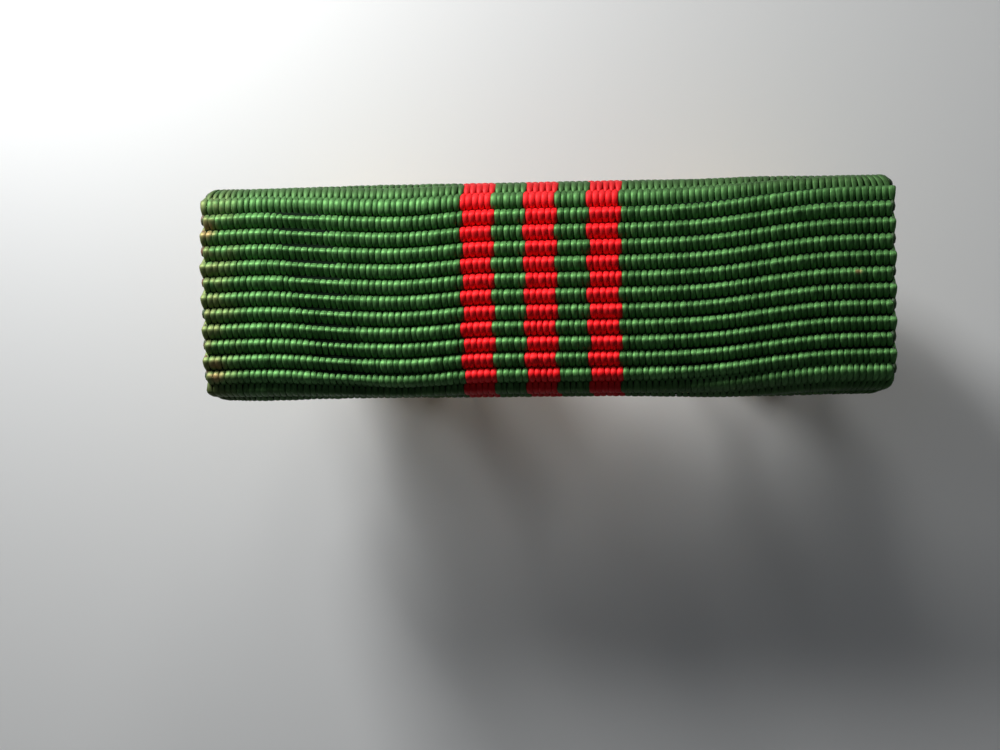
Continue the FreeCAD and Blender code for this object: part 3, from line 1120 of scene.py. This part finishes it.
    def add(self, mesh: bpy.types.Mesh, material: bpy.types.Material, dye: Dye) -> bpy.types.Object:
        """Makes a piece of a mesh and fixes it to the bar.

        Args:
            mesh: the piece's mesh.
            material: its material.
            dye: which of the ribbon's colours it belongs to.

        Returns:
            The piece.
        """
        mesh.shade_smooth()
        mesh.materials.append(material)
        piece = bpy.data.objects.new(mesh.name, mesh)
        bpy.context.scene.collection.objects.link(piece)
        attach(piece, "bar")
        self.pieces.append(piece)
        LOG.info("%s: %d faces", piece.name, len(mesh.polygons))
        return piece

    def build(self) -> None:
        """Weaves the ribbon on the bar."""
        silks = {
            Dye.GREEN: GREEN_SILK.make(self.half_width, self.top),
            Dye.RED: RED_SILK.make(self.half_width, self.top),
        }
        first = 0
        for band in BANDS:
            for lay in Lay:
                self.weave(band, first, lay, silks[band.dye])
            first += band.ends
        stripe = next(band for band in BANDS if band.dye is Dye.RED)
        step = stripe.ends + next(band.ends for band in BANDS if band.name == "gap_left")
        edge = SelvedgeFinish().make()
        for side in SIDE_NAMES:
            self.edge_turns(side, edge)
        ground = self.ground(GroundFinish().make(stripe.ends / 2 * self.bead_pitch, step * self.bead_pitch))
        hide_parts("ribbon_green_bands", "ribbon_red_stripes")


# ---- Metal -----------------------------------------------------------------------------------------
@dataclass
class Fittings:
    """The metal parts, which keep their shapes and get their finishes.

    Attributes:
        finishes: the finish of each kind of part, by the first words of its name.
    """

    finishes: dict[str, MetalFinish] = field(
        default_factory=lambda: {
            "front_former": FORMER_BRASS,
            "back_plate": PLATE_BRASS,
            "post": POST_NICKEL,
            "clutch": CLUTCH_GILT,
            "wing": WING_GILT,
            "jaw_spring": SPRING_BRONZE,
        }
    )

    def dress(self) -> None:
        """Gives every metal part its finish."""
        for start, finish in self.finishes.items():
            material = finish.make()
            for name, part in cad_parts.items():
                if name.startswith(start):
                    part.data.materials.clear()
                    part.data.materials.append(material)
                    LOG.info("%s: %s", name, finish.name)


# ---- Studio ----------------------------------------------------------------------------------------
@dataclass(frozen=True)
class Lamp:
    """A soft lamp. Without a reach it is far away and lights the whole floor evenly.

    Attributes:
        name: the lamp's name.
        way: from the bar's middle towards the lamp.
        strength: in W/m2 for a far lamp, in W for a near one.
        spread_deg: how wide a far lamp looks from the bar.
        reach: distance of a near lamp, or 0 for a far one.
        size: side of a near lamp.
        tint: its colour.
    """

    name: str
    way: tuple[float, float, float]
    strength: float
    spread_deg: float = 18
    reach: float = 0
    size: float = 0.03
    tint: tuple[float, float, float] = (1, 1, 1)

    def light(self, target: Vector) -> None:
        """Adds the lamp to the scene.

        Args:
            target: the point that it is aimed at.
        """
        data = bpy.data.lights.new(self.name, "AREA" if self.reach else "SUN")
        if self.reach:
            data.size = self.size
        else:
            data.angle = math.radians(self.spread_deg)
        data.energy = self.strength
        data.color = self.tint
        lamp = bpy.data.objects.new(self.name, data)
        way = Vector(self.way).normalized()
        lamp.location = target + way * (self.reach or 1)
        lamp.rotation_mode = "QUATERNION"
        lamp.rotation_quaternion = way.to_track_quat("Z", "Y")
        lamp.visible_camera = False
        bpy.context.scene.collection.objects.link(lamp)


@dataclass
class Studio:
    """The pale floor, the soft lamps and the camera.

    Attributes:
        camera_place: where the camera stands.
        camera_turn_deg: its turns about X, Y and Z from looking straight down.
        view_width_deg: width of its view.
        sensor_mm: width of its sensor.
        nearest: it sees nothing closer than this.
        floor_size: side of the floor.
        floor_colour: its colour.
        sky_colour: colour of the faint light from all round.
        ambient: strength of that light.
        lamps: the lamps.
    """

    camera_place: Vector = field(default_factory=lambda: Vector((9.51 * MM, 0.11 * MM, 104.62 * MM)))
    camera_turn_deg: tuple[float, float, float] = (-2.79, 7.07, -0.95)
    view_width_deg: float = 30
    sensor_mm: float = 36
    nearest: float = 1 * MM
    floor_size: float = 6
    floor_colour: tuple[float, float, float, float] = (0.7, 0.71, 0.71, 1)
    sky_colour: tuple[float, float, float, float] = (0.8, 0.88, 1.0, 1)
    ambient: float = 0.06
    lamps: tuple[Lamp, ...] = (
        Lamp("window_left", (-0.85, 0.75, 0.37), 0.9, spread_deg=13, tint=(1.0, 0.99, 0.97)),
        Lamp("window_middle", (-0.35, 1.0, 0.33), 1.0, spread_deg=13, tint=(1.0, 0.99, 0.97)),
        Lamp("window_right", (0.25, 1.0, 0.33), 0.45, spread_deg=13, tint=(1.0, 0.99, 0.97)),
        Lamp("near_lamp", (-0.62, 0.7, 0.36), 0.046, reach=0.062, size=0.018),
        Lamp("overhead", (-0.1, 0.35, 1.0), 0.035, spread_deg=40),
        Lamp("far_side", (0.4, -1.0, 0.5), 0.03, spread_deg=50),
    )

    def floor(self) -> None:
        """A plain pale floor that the bar stands on."""
        shape = bmesh.new()
        bmesh.ops.create_grid(shape, x_segments=2, y_segments=2, size=self.floor_size / 2)
        mesh = bpy.data.meshes.new("floor")
        shape.to_mesh(mesh)
        shape.free()
        recipe = Recipe("pale_floor")
        recipe.set(Base_Color=self.floor_colour, Roughness=0.9)
        mesh.materials.append(recipe.material)
        piece = bpy.data.objects.new("floor", mesh)
        bpy.context.scene.collection.objects.link(piece)

    def camera(self) -> None:
        """The camera, almost straight above the bar's face."""
        data = bpy.data.cameras.new("camera")
        data.sensor_width = self.sensor_mm
        data.lens = data.sensor_width / 2 / math.tan(math.radians(self.view_width_deg) / 2)
        data.clip_start = self.nearest
        eye = bpy.data.objects.new("camera", data)
        eye.location = self.camera_place
        eye.rotation_euler = Euler([math.radians(a) for a in self.camera_turn_deg], "XYZ")
        bpy.context.scene.collection.objects.link(eye)
        bpy.context.scene.camera = eye

    def set_up(self) -> None:
        """Builds the studio round the bar."""
        target = Vector((0, 0, CAD_BOX[1].z))
        self.floor()
        self.camera()
        for lamp in self.lamps:
            lamp.light(target)
        world = bpy.data.worlds.new("room")
        world.use_nodes = True
        sky = world.node_tree.nodes["Background"]
        sky.inputs["Color"].default_value = self.sky_colour
        sky.inputs["Strength"].default_value = self.ambient
        bpy.context.scene.world = world
        bpy.context.scene.view_settings.view_transform = "Standard"


def main() -> None:
    """Builds the studio, weaves the ribbon and finishes the metal."""
    logging.basicConfig(level=logging.INFO, format="%(message)s")
    Studio().set_up()
    Ribbon().build()
    Fittings().dress()


if __name__ == "__main__":
    main()
